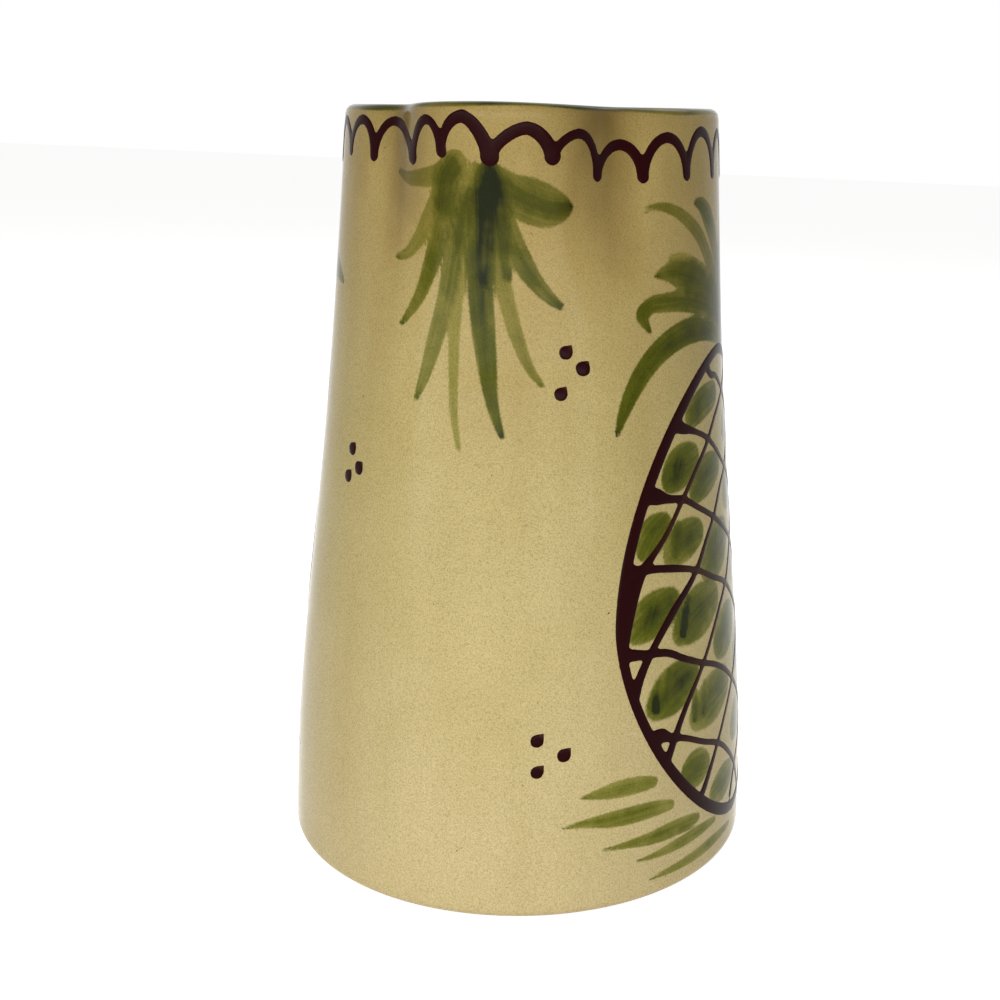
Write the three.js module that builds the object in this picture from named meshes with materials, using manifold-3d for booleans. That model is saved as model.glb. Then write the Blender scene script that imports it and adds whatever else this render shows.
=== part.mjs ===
// Glazed table pitcher: a tapered thrown wall with a pinched pouring lip, and a pulled strap handle
// luted on behind, each root filleted with a coil of joining clay.
// Millimetres, +Z up. The origin is the centre of the underside, the lip points to -Y, the handle to +Y.
import * as THREE from 'three';
import { mergeVertices } from 'three/addons/utils/BufferGeometryUtils.js';
import Module from 'manifold-3d';

const wasm = await Module();
wasm.setup();

// Thrown body, outside
const HEIGHT = 200;
const FOOT_RADIUS = 64.1;
const RIM_RADIUS = 48.3;
const FOOT_ROUND = 3;
// The wall leaves the foot almost upright and reaches the rim with a slight lean. Each pair gives how far
// the tangent handle at that end of the wall's curve runs along the height and across it.
const FOOT_PULL_UP = 65;
const FOOT_PULL_IN = 1.4;
const RIM_PULL_DOWN = 114;
const RIM_PULL_OUT = 6.7;

// Thrown body, inside
const WALL = 5;
const FLOOR = 7;
const FLOOR_CORNER = 9;

// Pinched pouring lip: a nose pulled forwards between two creases pressed in by the fingers
const LIP_REACH = 10.5;
const LIP_RISE = 1.2;
const LIP_DEPTH = 60;
const LIP_HALF_WIDTH = 22.5;
const LIP_NOSE_POWER = 2.4;
const LIP_FADE_POWER = 1.7;
const CREASE_DEPTH = 4;
const CREASE_OFFSET = 28;
const CREASE_HALF_WIDTH = 8.5;
// The pinched rim is not quite level: it stands this much higher over +X, and lower over -X.
const RIM_SLANT = 1.2;

// Pulled strap handle
const UPPER_ROOT_DROP = 28;
const LOWER_ROOT_Z = 66;
const UPPER_ROOT_TILT = 24;
const LOWER_ROOT_TILT = 38;
const HANDLE_REACH = 44;
const HANDLE_WIDEST_DROP = 62;
const SHOULDER_PULL = 26;
const BACK_PULL = 30;
const ROOT_PULL = 24;
const STRAP_WIDTH = 24;
const STRAP_THICK = 11;
const TAIL_WIDTH = 19;
const TAIL_THICK = 9.5;
const ROOT_FLARE = 5;
const ROOT_FLARE_LENGTH = 16;
const ROOT_BURY = 18;
const STRAP_EDGE_POWER = 2.6;

// Joining clay
const JOIN_GAP = 0.3;
const COIL_LENGTH = 8;
const COIL_SPREAD = 5;
const COIL_LIP = 0.9;

// Facets
const AROUND = 80;
const WALL_STEPS = 15;
const ROUND_STEPS = 6;
const STRAP_SIDES = 28;
const STRAP_STEPS = 40;
const COIL_STEPS = 6;
const WELD = 1e-4;

const glazedClay = (name, color) => {
  return new THREE.MeshStandardMaterial({ name, color, roughness: 0.18, metalness: 0 });
};

const rimLean = Math.atan(RIM_PULL_OUT / RIM_PULL_DOWN);
const rimEdgeZ = HEIGHT - (WALL / 2) * (1 - Math.sin(rimLean));
const upperRootZ = HEIGHT - UPPER_ROOT_DROP;
const handleWidestZ = HEIGHT - HANDLE_WIDEST_DROP;

// The outer wall in the half plane: x is the radius and y the height.
const wallCurve = new THREE.CubicBezierCurve(
  new THREE.Vector2(FOOT_RADIUS, FOOT_ROUND),
  new THREE.Vector2(FOOT_RADIUS - FOOT_PULL_IN, FOOT_ROUND + FOOT_PULL_UP),
  new THREE.Vector2(RIM_RADIUS + RIM_PULL_OUT, rimEdgeZ - RIM_PULL_DOWN),
  new THREE.Vector2(RIM_RADIUS, rimEdgeZ),
);

// The wall curve moved inwards along its own normal; a negative depth moves it outwards.
function wallPoint(share, depth) {
  const point = wallCurve.getPoint(share);
  const along = wallCurve.getTangent(share);
  return new THREE.Vector2(point.x - depth * along.y, point.y + depth * along.x);
}

// Where a test that holds at the near end of a range stops holding, found by halving.
function changeover(near, far, holds) {
  let low = near;
  let high = far;
  while (high - low > WELD) {
    const middle = (low + high) / 2;
    if (holds(middle)) low = middle;
    else high = middle;
  }
  return (low + high) / 2;
}

// Share of the wall curve at a height.
function wallShare(z) {
  return changeover(0, 1, (share) => wallCurve.getPoint(share).y < z);
}

// Radius of the outer wall at a height.
function wallRadius(z) {
  return wallCurve.getPoint(wallShare(z)).x;
}

// Outward direction square to the round wall at a place near it.
function wallNormal(place) {
  const along = wallCurve.getTangent(wallShare(place.z));
  const radius = Math.hypot(place.x, place.y);
  return new THREE.Vector3((place.x / radius) * along.y, (place.y / radius) * along.y, -along.x);
}

function arc(centre, radius, from, to, steps) {
  const points = [];
  for (let i = 0; i <= steps; i++) {
    const angle = from + ((to - from) * i) / steps;
    points.push(new THREE.Vector2(centre.x + radius * Math.cos(angle), centre.y + radius * Math.sin(angle)));
  }
  return points;
}

// Joins runs of points end to end, leaving out a point that repeats the one before it.
function chain(...runs) {
  const points = [];
  for (const point of runs.flat()) {
    const last = points[points.length - 1];
    if (!last || last.distanceTo(point) > WELD) points.push(point);
  }
  return points;
}

function potProfile() {
  const outer = [];
  const inner = [];
  const cornerZ = FLOOR + FLOOR_CORNER;
  for (let i = 0; i <= WALL_STEPS; i++) {
    const share = i / WALL_STEPS;
    outer.push(wallPoint(share, 0));
    const inside = wallPoint(1 - share, WALL);
    if (inside.y > cornerZ) inner.push(inside);
  }
  const cornerRadius = wallRadius(cornerZ) - WALL;
  const footCentre = new THREE.Vector2(FOOT_RADIUS - FOOT_ROUND, FOOT_ROUND);
  const cornerCentre = new THREE.Vector2(cornerRadius - FLOOR_CORNER, cornerZ);
  return chain(
    [new THREE.Vector2(0, 0)],
    arc(footCentre, FOOT_ROUND, -Math.PI / 2, 0, ROUND_STEPS),
    outer,
    arc(wallPoint(1, WALL / 2), WALL / 2, rimLean, Math.PI + rimLean, ROUND_STEPS),
    inner,
    arc(cornerCentre, FLOOR_CORNER, 0, -Math.PI / 2, ROUND_STEPS),
    [new THREE.Vector2(0, FLOOR)],
  );
}

// A profile turned about Z. Its seam and its first column lie on -Y, where the lip is.
function turned(profile) {
  const geometry = new THREE.LatheGeometry(profile, AROUND);
  geometry.rotateX(Math.PI / 2);
  return welded(geometry);
}

// Positions and faces only, with shared vertices merged and collapsed faces at the axis dropped.
function welded(geometry) {
  geometry.deleteAttribute('normal');
  geometry.deleteAttribute('uv');
  const merged = mergeVertices(geometry, WELD);
  const index = merged.index.array;
  const faces = [];
  for (let i = 0; i < index.length; i += 3) {
    const [a, b, c] = index.subarray(i, i + 3);
    if (a !== b && b !== c && c !== a) faces.push(a, b, c);
  }
  merged.setIndex(faces);
  return merged;
}

// How far the fingers moved the rim, in or out, at an arc distance from the middle of the lip.
function lipPush(distance) {
  const nose = LIP_REACH * Math.exp(-((distance / LIP_HALF_WIDTH) ** LIP_NOSE_POWER));
  const crease = CREASE_DEPTH * Math.exp(-(((distance - CREASE_OFFSET) / CREASE_HALF_WIDTH) ** 2));
  return nose - crease;
}

function pinchLip(geometry) {
  const place = geometry.getAttribute('position');
  for (let i = 0; i < place.count; i++) {
    const x = place.getX(i);
    const y = place.getY(i);
    const z = place.getZ(i);
    const radius = Math.hypot(x, y);
    const share = (z - (HEIGHT - LIP_DEPTH)) / LIP_DEPTH;
    if (share <= 0) continue;
    const fade = share ** LIP_FADE_POWER;
    const distance = Math.abs(Math.atan2(x, -y)) * RIM_RADIUS;
    const stretch = 1 + (lipPush(distance) * fade) / radius;
    const rise = LIP_RISE * Math.exp(-((distance / LIP_HALF_WIDTH) ** 2)) + (RIM_SLANT * x) / RIM_RADIUS;
    place.setXYZ(i, x * stretch, y * stretch, z + rise * fade);
  }
  return geometry;
}

// Closed skin over a row of rings with equal counts of points, capped flat at both ends.
function loft(rings) {
  const sides = rings[0].length;
  const positions = rings.flat().flatMap((point) => [point.x, point.y, point.z]);
  const faces = [];
  for (let ring = 0; ring + 1 < rings.length; ring++) {
    for (let side = 0; side < sides; side++) {
      const a = ring * sides + side;
      const b = ring * sides + ((side + 1) % sides);
      faces.push(a, b, b + sides, a, b + sides, a + sides);
    }
  }
  const last = (rings.length - 1) * sides;
  for (let side = 1; side + 1 < sides; side++) {
    faces.push(0, side + 1, side, last, last + side, last + side + 1);
  }
  const geometry = new THREE.BufferGeometry();
  geometry.setAttribute('position', new THREE.Float32BufferAttribute(positions, 3));
  geometry.setIndex(faces);
  return geometry;
}

// Middle line of the handle, from inside the wall at the upper root to inside it at the lower root.
function handleLine() {
  const upperTilt = THREE.MathUtils.degToRad(UPPER_ROOT_TILT);
  const lowerTilt = THREE.MathUtils.degToRad(LOWER_ROOT_TILT);
  const upper = new THREE.Vector3(0, wallRadius(upperRootZ), upperRootZ);
  const lower = new THREE.Vector3(0, wallRadius(LOWER_ROOT_Z), LOWER_ROOT_Z);
  const upperOut = new THREE.Vector3(0, Math.cos(upperTilt), Math.sin(upperTilt));
  const lowerOut = new THREE.Vector3(0, Math.cos(lowerTilt), Math.sin(lowerTilt));
  const upperIn = upper.clone().addScaledVector(upperOut, -ROOT_BURY);
  const lowerIn = lower.clone().addScaledVector(lowerOut, -ROOT_BURY);
  const back = new THREE.Vector3(0, wallRadius(handleWidestZ) + HANDLE_REACH, handleWidestZ);
  const line = new THREE.CurvePath();
  line.add(new THREE.LineCurve3(upperIn, upper));
  line.add(new THREE.CubicBezierCurve3(
    upper,
    upper.clone().addScaledVector(upperOut, ROOT_PULL),
    back.clone().add(new THREE.Vector3(0, 0, SHOULDER_PULL)),
    back,
  ));
  line.add(new THREE.CubicBezierCurve3(
    back,
    back.clone().sub(new THREE.Vector3(0, 0, BACK_PULL)),
    lower.clone().addScaledVector(lowerOut, ROOT_PULL),
    lower,
  ));
  line.add(new THREE.LineCurve3(lower, lowerIn));
  return line;
}

// A point of the strap's skin on one of its sides: its oval section stands square to the line at a
// distance along it, and is grown by a margin.
function strapPoint(line, distance, side, margin) {
  const length = line.getLength();
  const share = THREE.MathUtils.clamp(distance / length, 0, 1);
  const centre = line.getPointAt(share);
  const along = line.getTangentAt(share);
  const across = new THREE.Vector3(1, 0, 0);
  const through = new THREE.Vector3().crossVectors(along, across);
  const fromRoot = Math.max(Math.min(distance, length - distance) - ROOT_BURY, 0);
  const flare = ROOT_FLARE * Math.exp(-fromRoot / ROOT_FLARE_LENGTH);
  const width = THREE.MathUtils.lerp(STRAP_WIDTH, TAIL_WIDTH, share) + flare;
  const thick = THREE.MathUtils.lerp(STRAP_THICK, TAIL_THICK, share) + flare;
  const angle = (2 * Math.PI * side) / STRAP_SIDES;
  const cos = Math.cos(angle);
  const sin = Math.sin(angle);
  const squareness = Math.abs(cos) ** STRAP_EDGE_POWER + Math.abs(sin) ** STRAP_EDGE_POWER;
  const bulge = squareness ** (-1 / STRAP_EDGE_POWER);
  return centre
    .addScaledVector(across, (width / 2 + margin) * cos * bulge)
    .addScaledVector(through, (thick / 2 + margin) * sin * bulge);
}

function strapRing(place) {
  return Array.from({ length: STRAP_SIDES }, (unused, side) => place(side));
}

function strap(margin) {
  const line = handleLine();
  const length = line.getLength();
  const rings = [];
  for (let step = 0; step <= STRAP_STEPS; step++) {
    rings.push(strapRing((side) => strapPoint(line, (length * step) / STRAP_STEPS, side, margin)));
  }
  return loft(rings);
}

// Clay worked into the angle between wall and strap: a hollow fillet that leaves the wall and the strap
// along their own surfaces and keeps one height and one spread all the way round the root. Its first
// ring lies inside the wall and its last inside the strap, where the cuts take them away.
function rootCoil(atTail) {
  const line = handleLine();
  const length = line.getLength();
  const skin = (fromEnd, side, margin) => {
    return strapPoint(line, atTail ? length - fromEnd : fromEnd, side, margin);
  };
  const exits = strapRing((side) => changeover(0, 2 * ROOT_BURY, (fromEnd) => {
    const place = skin(fromEnd, side, 0);
    return Math.hypot(place.x, place.y) < wallRadius(place.z);
  }));
  const filletPoint = (side, share) => {
    const place = skin(exits[side] + COIL_LIP + COIL_LENGTH * share ** 2, side, 0);
    const square = skin(exits[side], side, 1).sub(skin(exits[side], side, 0)).normalize();
    const away = square.clone().projectOnPlane(wallNormal(place)).normalize().lerp(square, share);
    return place.addScaledVector(away, COIL_LIP + COIL_SPREAD * (1 - share) ** 2);
  };
  const rings = [strapRing((side) => {
    const foot = filletPoint(side, 0);
    return foot.addScaledVector(wallNormal(foot), -COIL_LENGTH);
  })];
  for (let step = 0; step <= COIL_STEPS; step++) {
    rings.push(strapRing((side) => filletPoint(side, step / COIL_STEPS)));
  }
  rings.push(strapRing((side) => skin(exits[side] + COIL_LIP + COIL_LENGTH, side, -COIL_LIP)));
  return loft(atTail ? rings.reverse() : rings);
}

function solid(geometry) {
  const mesh = new wasm.Mesh({
    numProp: 3,
    vertProperties: new Float32Array(geometry.getAttribute('position').array),
    triVerts: new Uint32Array(geometry.index.array),
  });
  return new wasm.Manifold(mesh);
}

function geometryOf(manifold) {
  const mesh = manifold.getMesh();
  const geometry = new THREE.BufferGeometry();
  geometry.setAttribute('position', new THREE.Float32BufferAttribute(mesh.vertProperties, 3));
  geometry.setIndex(new THREE.Uint32BufferAttribute(mesh.triVerts, 1));
  return geometry;
}

// The filled outside of the body, grown by the joining gap, which the handle's pieces are trimmed to.
function wallEnvelope() {
  const outer = [];
  for (let i = 0; i <= WALL_STEPS; i++) outer.push(wallPoint(i / WALL_STEPS, -JOIN_GAP));
  const bottom = new THREE.Vector2(0, outer[0].y);
  const top = new THREE.Vector2(0, outer[outer.length - 1].y);
  return solid(turned(chain([bottom], outer, [top])));
}

const envelope = wallEnvelope();
const clearedStrap = solid(strap(JOIN_GAP));

const pitcher = new THREE.Group();

function add(name, geometry, color) {
  const mesh = new THREE.Mesh(geometry, glazedClay(`${name}_glaze`, color));
  mesh.name = name;
  pitcher.add(mesh);
}

add('jug_body', pinchLip(turned(potProfile())), 0xcdb987);
add('strap_handle', geometryOf(solid(strap(0)).subtract(envelope)), 0xc9b480);
for (const [name, atTail] of [['upper_joining_coil', false], ['lower_joining_coil', true]]) {
  const coil = solid(rootCoil(atTail)).subtract(clearedStrap).subtract(envelope);
  add(name, geometryOf(coil), 0xc4ae7a);
}

export default pitcher;
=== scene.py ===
import math

import bpy
import numpy as np
from mathutils import Matrix, Vector
from mathutils.kdtree import KDTree


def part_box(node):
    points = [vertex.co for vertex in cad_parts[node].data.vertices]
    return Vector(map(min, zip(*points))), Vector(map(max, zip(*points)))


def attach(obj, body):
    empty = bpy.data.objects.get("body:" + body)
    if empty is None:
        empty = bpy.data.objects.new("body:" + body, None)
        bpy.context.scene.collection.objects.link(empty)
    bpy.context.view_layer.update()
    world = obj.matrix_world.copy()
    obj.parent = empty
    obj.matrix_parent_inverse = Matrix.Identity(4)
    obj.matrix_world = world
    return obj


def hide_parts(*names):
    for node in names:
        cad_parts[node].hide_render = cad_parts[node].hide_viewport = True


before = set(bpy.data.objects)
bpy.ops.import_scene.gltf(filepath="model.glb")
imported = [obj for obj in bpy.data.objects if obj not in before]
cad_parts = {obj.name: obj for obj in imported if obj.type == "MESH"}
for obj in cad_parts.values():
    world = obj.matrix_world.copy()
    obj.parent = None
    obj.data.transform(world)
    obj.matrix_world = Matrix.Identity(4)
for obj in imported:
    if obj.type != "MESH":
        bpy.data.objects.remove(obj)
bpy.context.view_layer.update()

bl_info = {
    "name": "Slipware Pitcher",
    "version": (1, 0, 0),
    "blender": (4, 5, 0),
    "location": "View3D > Sidebar > Pitcher",
    "description": "Throws, glazes and decorates a table pitcher with a pinched lip and a strap handle",
    "category": "Object",
}

MM = 0.001
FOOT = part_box("jug_body")[1].x
# Mean outside radius in mm, which turns degrees round the wall into lengths along it
MEAN_RADIUS = FOOT / MM * 0.88

# Curve of the thrown wall, as the CAD source draws it: how far the tangent handle at each end runs
# along the height and across it. These and the lengths below are millimetres.
FOOT_PULL_UP = 65.0
FOOT_PULL_IN = 1.4
RIM_PULL_DOWN = 114.0
RIM_PULL_OUT = 6.7
FLOOR_CORNER = 9.0

# Pinched lip, from the CAD source
LIP_RISE = 1.2
LIP_HALF_WIDTH = 22.5
LIP_NOSE_POWER = 2.4
LIP_FADE_POWER = 1.7
CREASE_OFFSET = 28.0
CREASE_HALF_WIDTH = 8.5
RIM_SLANT = 1.2

# Middle line, section and joining fillets of the handle, from the CAD source
UPPER_ROOT_DROP = 28.0
LOWER_ROOT_Z = 66.0
UPPER_ROOT_TILT = 24.0
LOWER_ROOT_TILT = 38.0
HANDLE_WIDEST_DROP = 62.0
SHOULDER_PULL = 26.0
BACK_PULL = 30.0
ROOT_PULL = 24.0
ROOT_FLARE = 5.0
ROOT_FLARE_LENGTH = 16.0
ROOT_BURY = 18.0
TAIL_NARROWING = 5.0
TAIL_THINNING = 1.5
STRAP_EDGE_POWER = 2.6
FILLET_LENGTH = 8.9
FILLET_SPREAD = 5.9

# Facets. The outside of the wall carries the brushwork in its vertices, so its faces are about 1 mm.
COLUMNS = 368
OUTER_ROWS = 196
INNER_ROWS = 26
ARC_ROWS = 7
STRAP_SIDES = 56
STRAP_ROWS = 110
FILLET_ROWS = 12

# Lines along the wall: their steps and least width, and how far apart the wall's slope is read
PATH_STEP = 0.5
LEAST_WIDTH = 0.4
NORMAL_STEP = 0.3

# Grooves that the pulling hand left down the strap, and how far a fillet's foot lies inside the wall
GROOVE_DEPTH = 0.45
GROOVE_RUN_IN = 30.0
FILLET_BITE = 0.35

# Brushwork: how far a stroke is worked out beyond its edge, what bare glaze holds as its distance, how wide
# a stroke fades out on another, the drop of colour where a stroke ends in a point, the least radius of the
# wall, and how far below the rim its green line starts
STROKE_REACH = 3.0
UNPAINTED = -6.0
EDGE_FADE = 0.9
POINTED_HALF_WIDTH = 1.3
POINT_DROP = 1.4
LEAST_RADIUS = 44.0
RIM_LINE_DROP = 1.15

# Slip: grain of the melt, how steeply a settled trail rises, how deep its bed is, how far its middle is
# sunk and how thick it is piped as shares of its width, and the widths of a thin and of a thick trail
SLIP_VOXEL = 0.4
SLIP_RISE = 0.8
SLIP_BED = 0.4
TRAIL_SUNK = 0.17
TRAIL_RADIUS = 0.53
THIN_TRAIL = 1.4
THICK_TRAIL = 2.6
END_ANGLES = (80, 62, 44, 22)


def linear(hex_colour):
    """An sRGB hex colour as linear red, green, blue and alpha."""
    values = [int(hex_colour[i:i + 2], 16) / 255 for i in (1, 3, 5)]
    return tuple(v / 12.92 if v <= 0.04045 else ((v + 0.055) / 1.055) ** 2.4 for v in values) + (1.0,)


def size(name, description, default):
    return bpy.props.FloatProperty(
        name=name, description=description, default=default, min=0.0, subtype="DISTANCE", unit="LENGTH",
        precision=4)


def colour(name, description, hex_colour):
    return bpy.props.FloatVectorProperty(
        name=name, description=description, default=linear(hex_colour), size=4, min=0.0, max=1.0,
        subtype="COLOR")


class PitcherSizes(bpy.types.PropertyGroup):
    """Sizes of the pitcher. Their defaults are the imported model's."""
    height: size("Height", "Rim of the pitcher above the table", 0.200)
    foot_radius: size("Foot radius", "Outside radius at the foot", FOOT)
    foot_round: size("Foot rounding", "Radius of the rounded edge under the wall", 0.003)
    rim_radius: size("Rim radius", "Outside radius at the rim, away from the lip", 0.0483)
    wall: size("Wall", "Thickness of the thrown wall", 0.005)
    floor: size("Floor", "Thickness of the floor", 0.007)
    lip_reach: size("Lip reach", "How far the pouring lip is pulled out", 0.0105)
    lip_depth: size("Lip depth", "How far down the wall the pinch of the lip runs", 0.060)
    crease: size("Crease", "How deep the fingers pressed in beside the lip", 0.004)
    handle_reach: size("Handle reach", "Middle of the strap out from the wall at its widest", 0.044)
    strap_width: size("Strap width", "Width of the strap handle near its upper root", 0.024)
    strap_thick: size("Strap thickness", "Thickness of the strap handle near its upper root", 0.011)
    slip_relief: size("Slip relief", "How far a thick trail of slip stands proud of the wall", 0.00022)


class PitcherColours(bpy.types.PropertyGroup):
    """Colours of the clay, glaze, slip and brushwork."""
    # From the foot up, the first three glazes are painted light and shade: paler low down, with some of the
    # paper's reflection painted in, and darker towards the rim.
    glaze_milky: colour("Milky glaze", "Cream glaze near the foot, where the tin makes it palest", "#d6c491")
    glaze_pale: colour("Pale glaze", "Cream glaze of the lower wall", "#c1b076")
    glaze_deep: colour("Deep glaze", "Cream glaze of the upper wall, more honey coloured", "#ad975c")
    # This glaze darkens the creases by the lip: glaze that gathered there, and painted shade.
    glaze_pooled: colour("Pooled glaze", "Cream glaze that gathered in the hollows beside the lip", "#78622e")
    speckle: colour("Speckle", "Iron grains of the clay that melted out into the glaze", "#6b542c")
    clay: colour("Clay", "Bare fired clay of the underside", "#b98f6a")
    slip: colour("Slip", "Iron and manganese slip where the trail is thick", "#240204")
    slip_thin: colour("Thin slip", "The same slip where the trail ran thin", "#3e2313")
    wash_pale: colour("Pale wash", "What thin copper green lets through of the glaze under it", "#cdd59c")
    wash_full: colour("Green wash", "What one full stroke of copper green lets through", "#7c8e30")
    wash_deep: colour("Deep wash", "What it lets through where strokes overlap or end in a drop", "#2c3d08")
    paper: colour("Paper", "Pale paper that the pitcher stands on", "#f4f3f0")


# Drawing. A point is degrees round the wall from the lip towards +X, height in mm and width in mm.
# A stroke of the brush starts with how much colour it leaves, where 1.5 is a full brush. Two such numbers
# are for its root and its tip. Then come its points from root to tip.

SPRAY = (
    (0.7, 0.75, ((-7.5, 170, 3.5), (-9.5, 158, 3.4), (-10.4, 148, 3), (-10.3, 138, 2.6), (-9.7, 128, 2),
        (-8, 120, 1.3))),
    (0.86, ((-12.5, 184.5, 5.5), (-20, 183.3, 4.2), (-26, 183, 3), (-31.3, 184.3, 1.4))),
    (0.92, ((-12.5, 181, 6), (-17.5, 174, 5), (-22, 168.5, 3.8), (-26, 165.3, 2.8), (-29.8, 164.4, 1.6))),
    (1.44, ((-10.2, 186, 5.5), (-13.2, 174, 5.6), (-17.5, 163, 4.5), (-21.5, 155, 3.2), (-27, 148.6, 1.5))),
    (1.26, ((-7, 180, 4.5), (-10, 168, 5), (-13, 155, 4.8), (-16.5, 144, 4.2), (-19, 136, 2.9),
        (-21, 131, 1.4))),
    (1.05, ((-3.9, 186.6, 2.8), (-5.5, 182, 4), (-7.5, 175, 4), (-9, 168, 3))),
    (1.15, ((-9, 187.2, 6.4), (-11.6, 184, 7.6), (-12.9, 178, 6.4))),
    (0.98, ((0.5, 170, 4), (2, 162, 4.2), (4.2, 154, 3.8), (7, 146, 3.2), (10, 140, 2.3),
        (13.1, 136.3, 1.4))),
    (1.55, ((1, 186, 3), (5, 181.5, 8), (9, 179.5, 10.5), (14, 178, 9), (19, 178, 2.5))),
    (1.44, ((1, 182, 5), (3.5, 173, 5.5), (7, 166, 5.2), (11, 160.5, 4), (15, 156.8, 2.8),
        (17.6, 155, 1.9))),
    (2.3, 1.9, ((-1.5, 185, 5.5), (-3, 172, 7), (-3.4, 160, 6.4), (-2.6, 150, 5.9), (-1.2, 140, 4.7),
        (0.5, 131, 3), (3, 124, 1.7))),
    (2.6, 1.2, ((-0.6, 187.5, 2.8), (-1.2, 182, 6), (-1.6, 174, 5.4), (-2.2, 166, 3.8), (-2.4, 160, 2))),
    (2, 1.3, ((0.6, 185, 3), (1.4, 177, 4.4), (2.6, 169, 3.6), (3.8, 162, 2.2))),
)

CROWN = (
    (1.1, ((84, 152, 5), (76, 161.5, 5), (71, 166.5, 4.6), (66, 171, 4.2), (60, 174.5, 3.6), (54, 177, 2.8),
        (48, 178, 2.2), (43.2, 177.3, 1.5))),
    (1.32, ((87, 150, 4), (85, 158, 5), (81, 165, 6), (77, 170.5, 6.5), (72, 175.5, 6), (68, 178, 4),
        (64, 178.8, 1.6))),
    (1.54, ((84, 150, 7), (72, 157, 9), (64, 160, 9.5), (58, 161.5, 8.5), (52, 162.3, 5),
        (46.5, 161.7, 1.4))),
    (0.39, ((78, 155, 4), (70, 160.5, 4), (64, 163.5, 3.5), (58, 165.5, 2.6), (52, 166.2, 1.3))),
    (1.54, ((86, 146, 4), (76, 150.5, 5), (66, 153.5, 5.5), (58, 154.8, 5.3), (50, 155, 4.8),
        (44, 154.3, 4.2), (41.6, 152.3, 3.8), (42.6, 150.4, 2.6), (44.3, 148.2, 1.3))),
    (1.95, ((84, 142.5, 4), (75, 145.5, 5), (66, 147.2, 6.2), (58, 147, 6.8), (51, 145, 6.6), (45, 141.5, 6),
        (40, 136.5, 5.2), (36, 130, 3.6), (33.5, 124, 1.4))),
)
CROWN_FAR_SIDE = (
    (1.21, ((85, 146, 5), (86, 158, 6.5), (88, 170, 5), (92, 180.5, 1.5))),
    (1.54, ((86, 146, 5), (100, 154, 8), (113, 158.5, 9.5), (128, 158.3, 8.5), (139, 156.8, 5),
        (147, 155, 1.5))),
)
LOWER_LEAVES = (
    (1.2, ((42.5, 33.3, 3.2), (38.5, 33.6, 4.6), (33.5, 33.6, 4.8), (28.1, 33.2, 3), (23.8, 32.7, 0.8))),
    (1.3, ((48, 25.3, 3), (44, 25.7, 4.2), (38.6, 25.8, 4.9), (32.1, 25.7, 4.6), (25.5, 25.7, 2.6),
        (19.7, 25.1, 0.8))),
    (1.3, ((57.8, 18, 2.8), (54.9, 18, 4.1), (49.2, 18.1, 4.8), (42.5, 17.8, 3.9), (35.7, 17.8, 2.2),
        (29, 17.6, 0.8))),
    (1.15, ((66, 13.8, 1.9), (58.3, 13.7, 3.5), (51.2, 13.2, 3.4), (44.2, 12.6, 2.1), (38.2, 12.3, 0.8))),
    (1.1, ((76, 7.8, 1.7), (63.7, 7.6, 3.4), (55.5, 7, 3), (47.9, 6.5, 2), (42.2, 6.1, 0.8))),
)
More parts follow.
